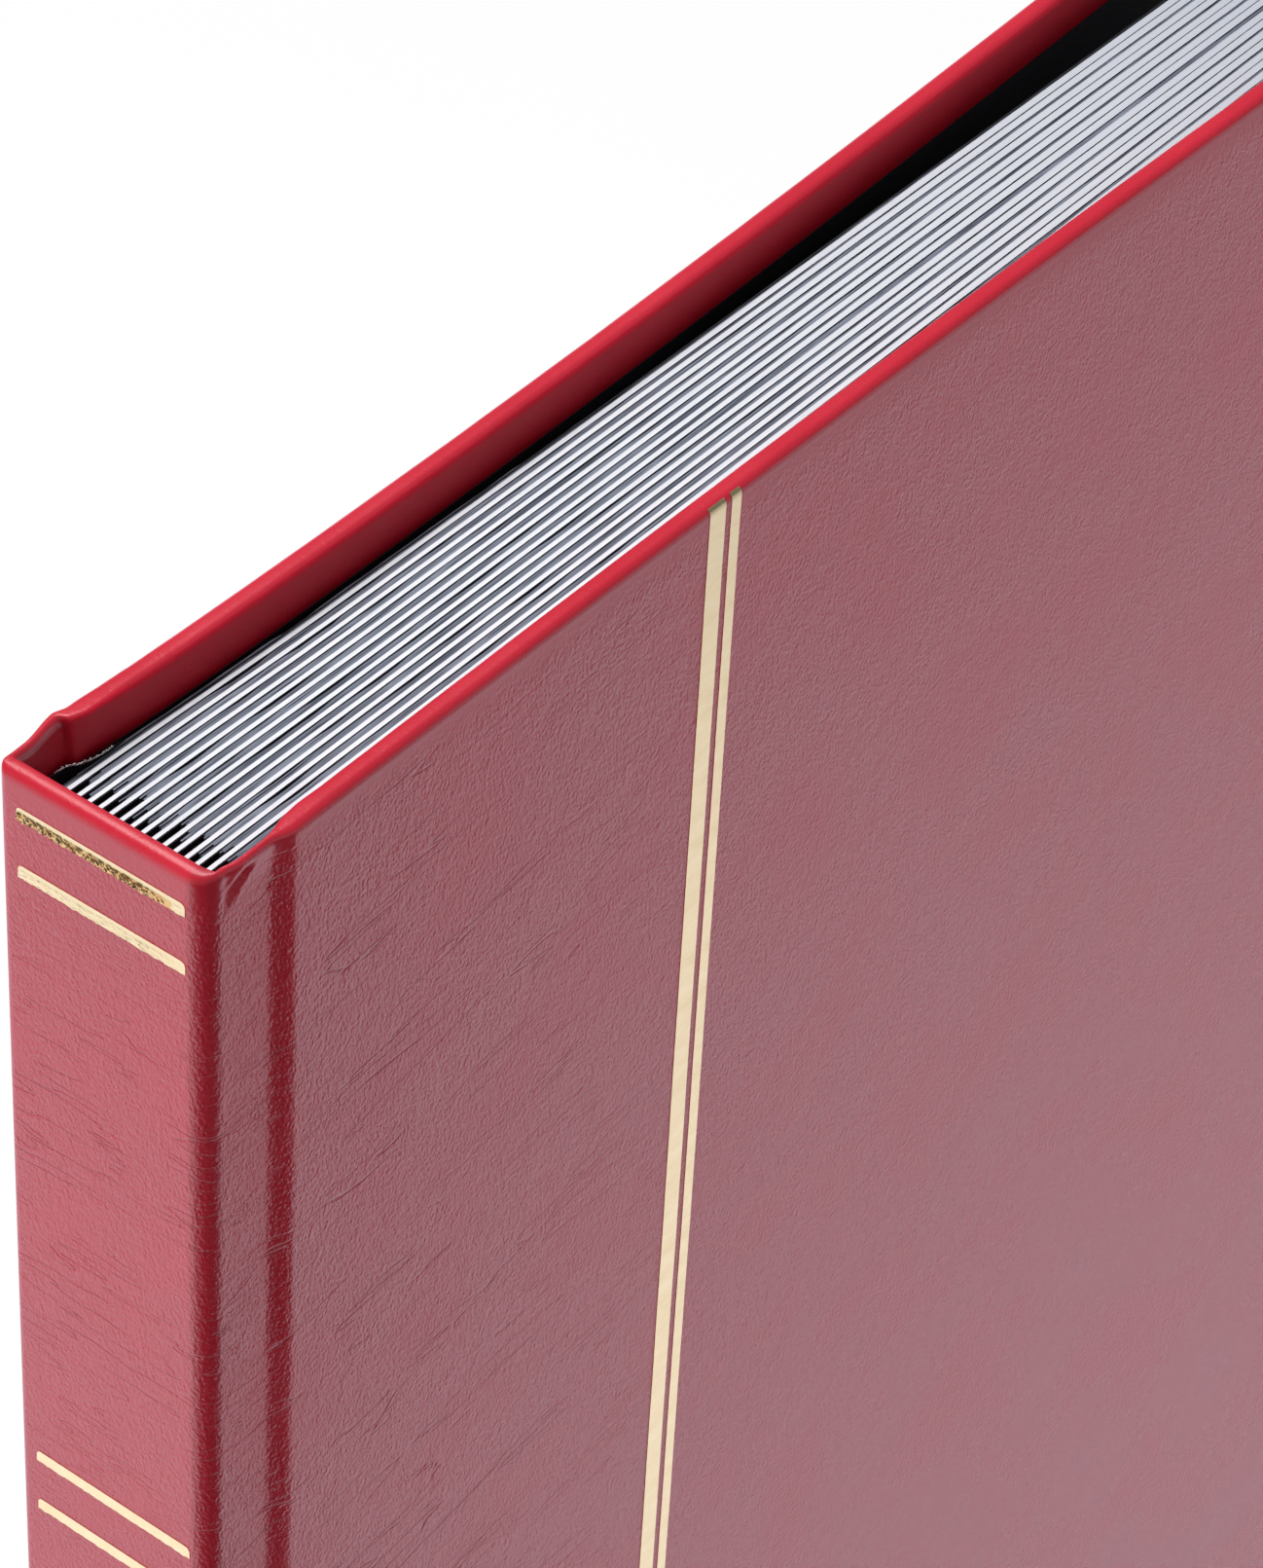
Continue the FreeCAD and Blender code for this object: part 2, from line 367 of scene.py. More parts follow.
# Stage. The places where the floor's glow and mirror image fade are in metres.
floor_size = 4000.0
floor_tone = (0.36, 0.36, 0.37)
floor_roughness = 0.9
white = (1.0, 1.0, 1.0)
black = (0.0, 0.0, 0.0)
reflected_white = (0.93, 0.90, 1.0)
glow_near = 0.8
glow_reach = (0.45, 1.0)
mirror_far = (-0.14, -0.22)
mirror_aside = (0.20, 0.34, 0.14, 0.42)
mirror_left = (-0.33, -0.42, 0.0, 0.22)
flag_color = (0.01, 0.01, 0.01, 1)
flag_roughness = 0.5
flag_angles = (172.0, 307.0)
flag_radii = (25.0, 2500.0)
flag_steps = 8
flag_height = 3.0
world_strength = 0.16
top_place = (40, 330, 1380)
top_target = (-30, 0, 280)


def smoothstep(low, high, value):
    """Smooth rise from 0 at low to 1 at high."""
    t = min(max((value - low) / (high - low), 0.0), 1.0)
    return t * t * (3 - 2 * t)


def graded(start, stop, fine, coarse, growth):
    """Places from start to stop, closest together at both ends."""
    length = stop - start
    half = [0.0]
    step = fine
    while half[-1] < length / 2:
        half.append(half[-1] + step)
        step = min(step * growth, coarse)
    scale = length / 2 / half[-1]
    half = [place * scale for place in half]
    return [start + place for place in half + [length - place for place in reversed(half[:-1])]]


def even(start, stop, step):
    """Even places from start to stop, about a step apart."""
    count = max(1, round(abs(stop - start) / step))
    return [start + (stop - start) * index / count for index in range(count + 1)]


def wobble(*place):
    """Smooth noise between -1 and 1."""
    return noise.noise(Vector(place))


def ripple(waves, *place):
    """Height of some waves together at a place."""
    total = 0.0
    for height, *rates in waves:
        total += height * wobble(*(rate * part for rate, part in zip(rates, place)))
    return total


def make_object(name, points, faces, material, uvs=None, sharp=smooth_angle):
    """A mesh object from points in millimetres, smooth except at sharp turns."""
    mesh = bpy.data.meshes.new(name)
    mesh.from_pydata([Vector(point) * MM for point in points], [], faces)
    mesh.update()
    mesh.shade_smooth()
    mesh.set_sharp_from_angle(angle=math.radians(sharp))
    if uvs:
        layer = mesh.uv_layers.new(name="UVMap")
        for loop in mesh.loops:
            layer.data[loop.index].uv = uvs[loop.vertex_index]
    mesh.materials.append(material)
    piece = bpy.data.objects.new(name, mesh)
    bpy.context.scene.collection.objects.link(piece)
    return piece


def slab_faces(columns, rows, first):
    """Faces of a sheet of two grids of points, closed round the rim."""
    back = first + columns * rows
    faces = []
    for c in range(columns - 1):
        for r in range(rows - 1):
            a = c * rows + r
            quad = (a, a + rows, a + rows + 1, a + 1)
            faces.append(tuple(first + i for i in quad))
            faces.append(tuple(back + i for i in reversed(quad)))
    rim = [c * rows for c in range(columns)]
    rim += [(columns - 1) * rows + r for r in range(1, rows)]
    rim += [c * rows + rows - 1 for c in range(columns - 2, -1, -1)]
    rim += list(range(rows - 2, 0, -1))
    for a, b in zip(rim, rim[1:] + rim[:1]):
        faces.append((first + b, first + a, back + a, back + b))
    return faces


def tube_faces(ring, count, first=0):
    """Faces of a closed skin over a count of rings of points, with its two ends."""
    faces = []
    for start in range(first, first + (count - 1) * ring, ring):
        for step in range(ring):
            a = start + step
            b = start + (step + 1) % ring
            faces.append((a, b, b + ring, a + ring))
    last = first + (count - 1) * ring
    return faces + [tuple(reversed(range(first, first + ring))), tuple(range(last, last + ring))]


def second_look(piece, material, chosen):
    """Gives a second material to the faces of a piece that are chosen."""
    piece.data.materials.append(material)
    for polygon, choice in zip(piece.data.polygons, chosen):
        polygon.material_index = int(choice)


class Builder:
    """Collects several closed pieces into one mesh."""

    def __init__(self):
        self.points = []
        self.faces = []
        self.uvs = []

    def slab(self, columns, rows, face, front, back, uv=lambda c, r: (c, r)):
        """Adds a sheet, whose face gives a point from a place and from the level of its front or back."""
        first = len(self.points)
        for level in (front, back):
            for c in columns:
                for r in rows:
                    self.points.append(face(c, r, level))
                    self.uvs.append(uv(c, r))
        faces = slab_faces(len(columns), len(rows), first)
        corner, beside, above, behind = (
            Vector(self.points[first + i]) for i in (0, len(rows), 1, len(columns) * len(rows))
        )
        if (beside - corner).cross(above - corner).dot(behind - corner) > 0:
            faces = [(face[0], *reversed(face[1:])) for face in faces]
        self.faces += faces

    def make(self, name, material):
        """The finished object."""
        return make_object(name, self.points, self.faces, material, self.uvs)


# Materials


class Shader:
    """A node material, built up step by step."""

    def __init__(self, name, coordinates="UV"):
        self.material = bpy.data.materials.new(name)
        self.material.use_nodes = True
        self.tree = self.material.node_tree
        self.surface = self.tree.nodes["Principled BSDF"]
        source = self.tree.nodes.new("ShaderNodeTexCoord")
        self.place = source.outputs[coordinates]
        self.height = None

    def feed(self, socket, value):
        """Gives an input a value or another node's output."""
        if isinstance(value, bpy.types.NodeSocket):
            self.tree.links.new(value, socket)
        else:
            socket.default_value = value

    def node(self, kind, inputs=None, **settings):
        """A node with its inputs and settings."""
        made = self.tree.nodes.new(kind)
        for key, value in settings.items():
            setattr(made, key, value)
        for key, value in (inputs or {}).items():
            self.feed(made.inputs[key], value)
        return made

    def split(self):
        """The texture place's separate values."""
        return self.node("ShaderNodeSeparateXYZ", {0: self.place}).outputs

    def scaled(self, scale, turn=0.0):
        """Texture place scaled along each axis, after a turn about Z."""
        rotation = (0.0, 0.0, math.radians(turn))
        turned = self.node("ShaderNodeMapping", {"Vector": self.place, "Rotation": rotation})
        return self.node("ShaderNodeMapping", {"Vector": turned.outputs[0], "Scale": scale}).outputs[0]

    def noise(self, scale, detail=3.0, rough=0.5, warp=0.0, turn=0.0):
        """Noise with a scale along each axis."""
        place = self.scaled(scale, turn)
        inputs = {"Vector": place, "Scale": 1.0, "Detail": detail, "Roughness": rough, "Distortion": warp}
        return self.node("ShaderNodeTexNoise", inputs).outputs["Fac"]

    def cells(self, scale, turn):
        """Distance to the middle of rounded cells."""
        inputs = {"Vector": self.scaled(scale, turn), "Scale": 1.0}
        return self.node("ShaderNodeTexVoronoi", inputs, feature="SMOOTH_F1").outputs["Distance"]

    def math(self, operation, first, second=0.0):
        """One operation on two values."""
        return self.node("ShaderNodeMath", {0: first, 1: second}, operation=operation).outputs[0]

    def product(self, first, *others):
        """Product of some values."""
        for other in others:
            first = self.math("MULTIPLY", first, other)
        return first

    def remap(self, value, low, high, out_low=0.0, out_high=1.0):
        """A value moved from one range to another, and held there."""
        inputs = {"Value": value, "From Min": low, "From Max": high, "To Min": out_low, "To Max": out_high}
        return self.node("ShaderNodeMapRange", inputs).outputs[0]

    def blend(self, factor, first, second):
        """A colour between two others."""
        made = self.node("ShaderNodeMix", {"Factor": factor}, data_type="RGBA")
        for index, value in ((6, first), (7, second)):
            self.feed(made.inputs[index], (*value, 1.0) if isinstance(value, tuple) else value)
        return made.outputs[2]

    def bump(self, height, depth, strength):
        """Relief of a depth in millimetres, over the relief so far."""
        inputs = {"Height": height, "Distance": depth * MM, "Strength": strength}
        if self.height:
            inputs["Normal"] = self.height
        self.height = self.node("ShaderNodeBump", inputs).outputs[0]

    def tint(self, factor, span, tones):
        """A colour between two tones, as a factor crosses a span."""
        return self.blend(self.remap(factor, *span), *tones)

    def finish(self, color, roughness, **constants):
        """Connects colour, roughness and relief, and gives the material."""
        self.feed(self.surface.inputs["Base Color"], color)
        self.feed(self.surface.inputs["Roughness"], roughness)
        if self.height:
            self.feed(self.surface.inputs["Normal"], self.height)
        for key, value in constants.items():
            self.surface.inputs[key].default_value = value
        return self.material


def creases(shader, scale, turn, patch_scale, bare):
    """Fine wandering creases that come and go."""
    wander = shader.noise(scale, detail=2.0, warp=0.25, turn=turn)
    ridge = shader.math("ABSOLUTE", shader.math("SUBTRACT", wander, 0.5))
    line = shader.remap(ridge, 0.0, crease_width, 1.0, 0.0)
    patch = shader.remap(shader.noise(patch_scale, detail=1.0), bare, bare + patch_edge)
    return shader.product(line, patch)


def leatherette_material(name, gloss, smoothest, grain):
    """Red bookbinding leatherette: fine upright grain, long fine creases and a soft gloss, with painted
    shade in the creases and on the front corner of the spine.
    """
    shader = Shader(name)
    spot = shader.split()
    along = spot["X"]
    across = shader.math("ABSOLUTE", along)
    height = spot["Y"]
    before_head = shader.remap(height, *rim_start, 1.0, rim_grain)
    after_head = shader.remap(height, *rim_end, rim_grain, 1.0)
    flat = shader.math("MAXIMUM", before_head, after_head)
    swell = shader.noise(swell_scale, detail=2.0)
    pebble = shader.cells(pebble_scale, grain_turn)
    fine = shader.noise(fine_scale, rough=0.65, turn=grain_turn)
    for texture, (depth, strength) in ((swell, swell_relief), (pebble, pebble_relief), (fine, fine_relief)):
        shader.bump(shader.product(texture, flat), depth * grain, strength)
    below_rim = shader.remap(height, *rim_start, 1.0, 0.0)
    bent = shader.math("MINIMUM", shader.remap(height, *bent_from), shader.remap(height, *bent_until))
    on_spine = shader.product(shader.remap(across, *spine_crease_fade), bent, below_rim)
    on_cover = shader.product(
        shader.remap(across, *cover_crease_start), shader.remap(across, *cover_crease_fade), below_rim
    )
    crease = shader.math(
        "MAXIMUM",
        shader.product(creases(shader, *spine_creases), on_spine),
        shader.product(creases(shader, *cover_creases), on_cover),
    )
    shader.bump(crease, *crease_relief)
    cloud = shader.noise(cloud_scale, detail=4.0)
    color = shader.tint(cloud, noise_middle, leather_reds)
    # Painted shade: the creases are darkened in colour as well as in relief.
    color = shader.blend(shader.product(crease, crease_shade), color, crease_shade_red)
    # Painted shade on the rounded front corner of the spine.
    corner_shade = shader.product(shader.remap(along, *corner_shade_start), shader.remap(along, *corner_shade_end))
    color = shader.blend(shader.product(corner_shade, corner_shade_share), color, corner_shade_red)
    roughness = shader.remap(cloud, *noise_middle, smoothest, smoothest + roughness_spread)
    return shader.finish(color, roughness, IOR=gloss)


def card_material():
    """White cut edge of the card, with painted shade that greys it away from the spine."""
    shader = Shader("page_card", "Object")
    fibre = shader.noise((900.0, 900.0, 3500.0))
    shader.bump(fibre, depth=0.02, strength=0.3)
    tone = shader.noise((120.0, 2500.0, 120.0), detail=2.0)
    color = shader.tint(tone, noise_core, card_whites)
    # Painted shade: the card greys away from the spine, standing in for the light falling off towards the
    # fore edge.
    color = shader.blend(shader.remap(shader.split()["X"], *card_shade_run), color, card_far_shade)
    return shader.finish(color, shader.remap(fibre, *noise_middle, out_low=0.6, out_high=0.75))


def paper_material(name, fineness, tones, smoothest):
    """Fibrous black paper, also used as painted shade on the faces of the white cards."""
    shader = Shader(name, "Object")
    fibre = shader.noise((fineness, fineness, fineness), detail=4.0, rough=0.6)
    shader.bump(fibre, depth=0.02, strength=0.35)
    color = shader.tint(fibre, noise_middle, tones)
    return shader.finish(color, shader.remap(fibre, *noise_middle, smoothest, smoothest + 0.15))


def glassine_material(name, tones, clearness):
    """Grey-blue glassine, streaky along the page and more or less clear."""
    shader = Shader(name, "Object")
    cloud = shader.noise((700.0, 700.0, 700.0), detail=4.0, rough=0.65)
    shader.bump(cloud, depth=0.03, strength=0.4)
    streak = shader.noise((90.0, 900.0, 2600.0), rough=0.6)
    color = shader.tint(streak, noise_core, tones)
    roughness = shader.remap(cloud, *noise_middle, out_low=0.3, out_high=0.45)
    return shader.finish(color, roughness, Alpha=1.0 - clearness)


def linen_material():
    """Black bookbinding linen with its weave."""
    shader = Shader("linen", "Object")
    inputs = {"Vector": shader.place, "Scale": 900.0, "Distortion": 1.5, "Detail": 1.0}
    waves = [shader.node("ShaderNodeTexWave", inputs, bands_direction=axis) for axis in "XZ"]
    weave = shader.product(*(wave.outputs["Fac"] for wave in waves))
    shader.bump(weave, depth=0.08, strength=0.8)
    color = shader.blend(weave, *linen_blacks)
    return shader.finish(color, shader.remap(weave, 0.0, 1.0, out_low=0.9, out_high=0.7))


def foil_material(name, tones):
    """Gold stamping foil, slightly uneven."""
    shader = Shader(name)
    grain = shader.cells((1.5, 2.3, 1.0), turn=12.0)
    shader.bump(grain, depth=0.015, strength=0.3)
    worn = shader.noise((0.5, 0.5, 1.0), rough=0.6)
    color = shader.tint(worn, worn_range, tones)
    return shader.finish(color, shader.remap(worn, *noise_middle, out_low=0.2, out_high=0.3), Metallic=1.0)


def thread_material():
    """Pale raw thread at the cut edge of the linen."""
    shader = Shader("thread", "Object")
    fibre = shader.noise((4000.0, 4000.0, 4000.0))
    shader.bump(fibre, depth=0.03, strength=0.5)
    color = shader.blend(fibre, *thread_greys)
    return shader.finish(color, shader.remap(fibre, *noise_middle, out_low=0.7, out_high=0.9))


leatherette = leatherette_material("leatherette", gloss=1.97, smoothest=0.24, grain=1.0)
turned_leatherette = leatherette_material("turned_leatherette", gloss=1.38, smoothest=0.5, grain=0.4)
page_card = card_material()
# Painted shade: the faces of the white cards get near-black paper
shaded_page_face = paper_material("shaded_page_face", 1300.0, page_shade_blacks, smoothest=0.55)
# Partly painted shade: the interleaf is dark and opaque for the shade in the gaps between the cards; its
# grey-blue is the glassine's own.
interleaf_glassine = glassine_material("interleaf_glassine", interleaf_greys_and_shade, clearness=0.0)
pocket_glassine = glassine_material("pocket_glassine", pocket_greys, pocket_clearness)
linen = linen_material()
endpaper = paper_material("endpaper", 1500.0, endpaper_blacks, smoothest=0.5)
gold_foil = foil_material("gold_foil", foil_golds)
creased_foil = foil_material("creased_foil", creased_golds)
thread = thread_material()


# Case of leatherette over board


def cover_bend(side, x):
    """How far a cover bends outwards along its width."""
    if side == FRONT:
        share = max(0.0, (x - flare_start) / (fore_edge - flare_start))
        return flare * share ** flare_power
    bent = min(x, straight_from) - hollow_middle
    slope = 2 * hollow_curve * (straight_from - hollow_middle)
    lift = joint_lift * math.exp(-(max(x, groove_end) - groove_end) / lift_reach)
    return lift - hollow + hollow_curve * bent ** 2 + slope * max(0.0, x - straight_from)


def cover_relief(side, x, z):
    """Slight unevenness of the outer face, outwards."""
    return ripple(cover_waves, x, z, side) * smoothstep(*relief_start, x) * smoothstep(*relief_end, x)


def strip_swell(side, x, z):
    """How far the joint stands out at the head and the tail."""
    rise, run, reach = strip_swelling[side]
    depth = min(case_height - z, z)
    return rise * smoothstep(*run, x) * math.exp(-(depth / reach) ** 2)


def strip_folds(side, x, z):
    """Depth of the slanting folds in the front joint at head and tail."""
    if side == BACK:
        return 0.0
    depth = min(case_height - z, z)
    across = x - groove_start + fold_offset + fold_slant * depth
    fold = 0.0
    for share, start, bottom, end in fold_shapes:
        fold += share * smoothstep(start, bottom, across) * smoothstep(end, bottom, across)
    return fold_depth * fold * smoothstep(*fold_fade, depth) * smoothstep(*fold_rim, depth)


def spine_place(along):
    """Point and outward direction at a length along the spine from its middle."""
    side = math.copysign(1.0, along)
    radius = spine_corner[side]
    flat = half_width[side] - radius
    over = max(0.0, abs(along) - flat)
    if over == 0.0:
        return Vector((spine_face, along)), Vector((-1.0, 0.0))
    turn = over / radius
    out = Vector((-math.cos(turn), side * math.sin(turn)))
    return Vector((spine_face + radius, side * flat)) + out * radius, out


class Station:
    """One line across the case: its outer and inner point in plan and the size of its rounded edges."""

    def __init__(self, outer, inner, outer_edge, inner_edge, strip=0.0, cover=False, trim=0.0):
        self.outer = Vector(outer)
        self.inner = Vector(inner)
        fit = min(1.0, edge_fit * (self.inner - self.outer).length / (outer_edge[0] + inner_edge[0]))
        self.outer_edge = Vector(outer_edge) * fit
        self.inner_edge = Vector(inner_edge) * fit
        self.strip = strip
        self.cover = cover
        self.trim = trim


def between(first, second, share):
    """Edge rounding between two others."""
    return Vector(first).lerp(Vector(second), share)


def spine_stations(side, start):
    """Stations over the spine and round its corner."""
    half = half_width[side]
    radius = spine_corner[side]
    flat = half - radius
    strip_outer, strip_inner = strip_edges[side]
    for y in even(start, flat, spine_step):
        outer = (spine_face, side * y)
        yield Station(outer, (spine_high.x, side * y), spine_outer_edge, spine_inner_edge)
    for share in even(0.0, 1.0, 1 / corner_steps)[1:]:
        point = spine_place(side * (flat + radius * math.pi / 2 * share))[0]
        inner = (spine_high.x, side * (flat + (half - strip_thick - flat) * share))
        outer_edge = between(spine_outer_edge, strip_outer, smoothstep(0.0, 1.0, share))
        inner_edge = between(spine_inner_edge, strip_inner, share)
        yield Station(point, inner, outer_edge, inner_edge)


def inner_level(side, x):
    """Distance of the inside face from the middle, which steps in at the board."""
    strip = half_width[side] - strip_thick
    board = turn_in_face + cover_bend(side, max(x, groove_end))
    return strip + (board - strip) * smoothstep(*inner_step[side], x)


def strip_stations(side):
    """Stations over the joint, from the spine's corner to the cover."""
    start = spine_face + spine_corner[side]
    strip_outer, strip_inner = strip_edges[side]
    low = half_width[side]
    high = cover_outer + cover_bend(side, groove_end)
    for x in even(start, groove_end, strip_step)[1:]:
        share = smoothstep(groove_start, groove_end, x)
        ramp = strip_rise[side] * (x - start) / (groove_end - start)
        y = low + ramp + (high - low - ramp) * share
        inner_x = max(spine_high.x + strip_creep * (x - start), x)
        board = smoothstep(groove_start, board_start, x)
        outer_edge = between(strip_outer, cover_edge, board)
        inner_edge = between(strip_inner, cover_step_edge, board)
        strip = smoothstep(spine_high.x, spine_high.x + strip_run, x) * (1.0 - share)
        inner = (inner_x, side * inner_level(side, x))
        yield Station((x, side * y), inner, outer_edge, inner_edge, strip)


def cover_stations(side):
    """Stations over the cover, with its rounded fore edge."""
    for x in graded(groove_end, fore_edge - edge_radius, *cover_steps)[1:]:
        bend = cover_bend(side, x)
        outer = (x, side * (cover_outer + bend))
        inner = (x, side * inner_level(side, x))
        flat = smoothstep(groove_end, groove_end + cover_step_run, x)
        inner_edge = between(cover_step_edge, cover_edge, flat)
        yield Station(outer, inner, cover_edge, inner_edge, cover=True)
    for index in range(1, arc_steps + 1):
        turn = math.pi / 2 * index / arc_steps
        x = fore_edge - edge_radius + edge_radius * math.sin(turn)
        sunk = edge_radius * (1 - math.cos(turn))
        bend = cover_bend(side, x)
        round_off = max(0.0, corner_radius - fore_edge + x)
        trim = corner_radius - math.sqrt(corner_radius ** 2 - round_off ** 2)
        outer = (x, side * (cover_outer + bend - sunk))
        inner = (x, side * (turn_in_face + bend + sunk))
        yield Station(outer, inner, cover_edge, cover_edge, cover=True, trim=trim)


def station_profile(station, heights):
    """Depth and height round one station: up the outside, over the head and down the inside."""
    thick = (station.inner - station.outer).length
    low = station.trim
    high = case_height - station.trim
    turns = [math.pi / 2 * index / arc_steps for index in range(arc_steps + 1)]

    def levels(tall):
        return [low + tall + z * (high - low - 2 * tall) / case_height for z in heights]

    wide, tall = station.outer_edge
    outer_arc = [(wide - wide * math.cos(t), tall - tall * math.sin(t)) for t in turns]
    profile = [(0.0, z) for z in levels(tall)]
    profile += [(depth, high - drop) for depth, drop in outer_arc[1:]]
    wide, tall = station.inner_edge
    inner_arc = [(thick - wide + wide * math.cos(t), tall - tall * math.sin(t)) for t in turns]
    profile += [(depth, high - drop) for depth, drop in reversed(inner_arc[1:])]
    profile += [(thick, z) for z in reversed(levels(tall))]
    profile += [(depth, low + drop) for depth, drop in inner_arc[1:]]
    profile += [(depth, low + drop) for depth, drop in reversed(outer_arc[1:])]
    return profile


def station_loop(side, station, along, heights):
    """Points and texture places round one station."""
    across = (station.inner - station.outer).normalized()
    thick = (station.inner - station.outer).length
    dent = min(ripple(rim_waves, along, side, 1.0), 0.0)
    points = []
    uvs = []
    length = 0.0
    before = (0.0, 0.0)
    for depth, z in station_profile(station, heights):
        spot = station.outer + across * depth
        if station.cover:
            outside = 1.0 - smoothstep(0.0, relief_through, depth / thick)
            spot.y += side * cover_relief(side, spot.x, z) * outside
        if station.strip:
            x = station.outer.x
            outside = 1.0 - smoothstep(0.0, fold_through, depth / thick)
            spot.y += side * station.strip * (strip_swell(side, x, z) - outside * strip_folds(side, x, z))
        edge = math.exp(-((case_height - z) / rim_reach) ** 2) - math.exp(-(z / rim_reach) ** 2)
        length += math.hypot(depth - before[0], z - before[1])
        before = (depth, z)
        points.append((spot.x, spot.y, z + dent * edge))
        uvs.append((-side * along, length))
    return points, uvs


def case_piece(name, side, start):
    """Closed skin of one side of the case, from the spine to the fore edge."""
    heights = graded(0.0, case_height, *height_steps)
    stations = [*spine_stations(side, start), *strip_stations(side), *cover_stations(side)]
    points = []
    uvs = []
    along = start
    before = stations[0].outer
    for station in stations:
        along += (station.outer - before).length
        before = station.outer
        loop_points, loop_uvs = station_loop(side, station, along, heights)
        points += loop_points
        uvs += loop_uvs
    faces = tube_faces(len(points) // len(stations), len(stations))
    if side == FRONT:
        faces = [tuple(reversed(face)) for face in faces]
    skin = make_object(name, points, faces, leatherette, uvs, case_angle)
    inner_start, inner_end = inner_lengths
    spans = ([uvs[corner][1] for corner in face] for face in faces)
    inside = (inner_start < min(span) and max(span) < inner_end for span in spans)
    second_look(skin, turned_leatherette, inside)
    return skin


def fold_points(side):
    """Start and end of the stretch where the leatherette bends."""
    return [((spine_high.x + x) * MM, side * spine_half * MM, 0.0) for x in fold_window]


front_case = case_piece("front_case", FRONT, -seam_y)
fold_start, fold_end = fold_points(FRONT)
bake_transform(front_case)
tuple(fold_start)
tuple(fold_end)
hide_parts("front_leather", "front_board", "spine_leather", "spine_board")

back_case = case_piece("back_case", BACK, seam_y)
fold_start, fold_end = fold_points(BACK)
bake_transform(back_case)
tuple(fold_start)
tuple(fold_end)
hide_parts("back_leather", "back_board")


# Gold lines


def line_height(number, middle, along, share):
    """Height of a point of a spine line, with its uneven lower edge and its round upper corners."""
    near = min(along - line_start, line_end - along)
    rounding = corner_depth * (1 - math.sqrt(1 - (1 - min(near / line_corner, 1.0)) ** 2))
    low = -line_width / 2 + ripple(line_low_waves, along, number, 1.0)
    high = line_width / 2 + ripple(line_high_waves, along, number, 1.0) - rounding
    return middle + low + (high - low) * share


def line_crumple(number, along, share):
    """How strongly the foil of a spine line is creased at a point."""
    creased = line_creasing.get(number, faint_creasing)
    return creased * smoothstep(*crumple_band, share) * smoothstep(*crumple_run, along)


def spine_line(builder, number, middle):
    """Adds one line across the spine, with its middle at a height."""
    creased = number in line_creasing
    columns = even(line_start, line_end, creased_step if creased else foil_step)
    rows = even(0.0, 1.0, 1 / (creased_rows if creased else foil_rows))

    def face(along, share, lift):
        point, out = spine_place(along)
        height = line_height(number, middle, along, share)
        crease = sum(abs(ripple((wave,), along, height, 1.0)) for wave in crumple_waves)
        spot = point + out * (lift + line_crumple(number, along, share) * crease)
        return (spot.x, spot.y, height)

    def uv(along, share):
        return (-along, line_height(number, middle, along, share))

    builder.slab(columns, rows, face, foil_lift, foil_lift - foil_thick, uv)


def spine_foil():
    """Eight short lines across the spine, in pairs. The first is creased along its lower half."""
    builder = Builder()
    heights = []
    for band in spine_bands:
        for offset in (-line_gap / 2, line_gap / 2):
            heights += [case_height - band - offset, band + offset]
    face_counts = []
    for number, middle in enumerate(sorted(heights, reverse=True)):
        spine_line(builder, number, middle)
        face_counts.append(len(builder.faces))
    foil = builder.make("spine_foil", gold_foil)
    corners = [face[0] for face in builder.faces[:face_counts[0]]]
    places = ((-builder.uvs[corner][0], corner % (creased_rows + 1) / creased_rows) for corner in corners)
    second_look(foil, creased_foil, (line_crumple(0, *place) > creased_from for place in places))
    return foil


def front_line(builder, number, offset, width):
    """Adds one upright line to the front cover, at an offset from the first and with a width."""
    columns = graded(front_line_margin, case_height - front_line_margin, *front_line_steps)
    rows = even(0.0, 1.0, 1 / front_line_rows)

    def face(z, share, lift):
        left, right = (ripple(waves, z, number, 1.0) for waves in front_edge_waves)
        x = front_line_start + offset + left + (width + right - left) * share
        sunk = max(0.0, edge_radius - min(z, case_height - z))
        drop = edge_radius - math.sqrt(edge_radius ** 2 - sunk ** 2)
        y = cover_outer + cover_bend(FRONT, x) + cover_relief(FRONT, x, z) - drop + lift
        return (x, -y, z)

    builder.slab(columns, rows, face, foil_lift, foil_lift - foil_thick, lambda z, share: (share, z))


def front_foil():
    """Two upright lines on the front cover, a wide one and a narrow one."""
    builder = Builder()
    for number, (offset, width) in enumerate(front_lines):
        front_line(builder, number, offset, width)
    return builder.make("front_foil", gold_foil)


spine_lines = spine_foil()
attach(spine_lines, "spine")
front_gold = front_foil()
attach(front_gold, "front_cover")


# Endpapers


def pastedown(side):
    """Black endpaper inside a cover, raised over the turned-in leatherette."""
    builder = Builder()
    columns = graded(paste_low.x, paste_high.x, *paste_x_steps)
    rows = graded(paste_low.z - paper_overhang, paste_high.z + paper_overhang, *paste_z_steps)

    def face(x, z, lift):
        """Point of the paper, which sinks where no leatherette lies under it."""
        inset = min(z, case_height - z, fore_edge - x)
        sunk = paste_sink * smoothstep(*paste_sink_run, inset)
        level = paper_face + sunk + cover_bend(side, x) + ripple(paste_waves, x, z, side)
        return (x, side * (level + lift), z)

    builder.slab(columns, rows, face, 0.0, paste_thick)
    return builder.make(f"{side_name[side]}_endpaper", endpaper)


for side, body in ((FRONT, "front_cover"), (BACK, "back_cover")):
    sheet = pastedown(side)
    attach(sheet, body)
    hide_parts("front_pastedown" if side < 0 else "back_pastedown")


# Leaves


def leaf_y(number, x):
    """Middle of a leaf, counted from 0, at a place along its width."""
    share = number / (leaf_count - 1)
    lean = last_lean * share * (x - leaf_hinge_x)
    settle = settle_depth * share * smoothstep(*settle_from, x) * smoothstep(*settle_until, x)
    return first_leaf_y + number * hinge_step - lean - settle


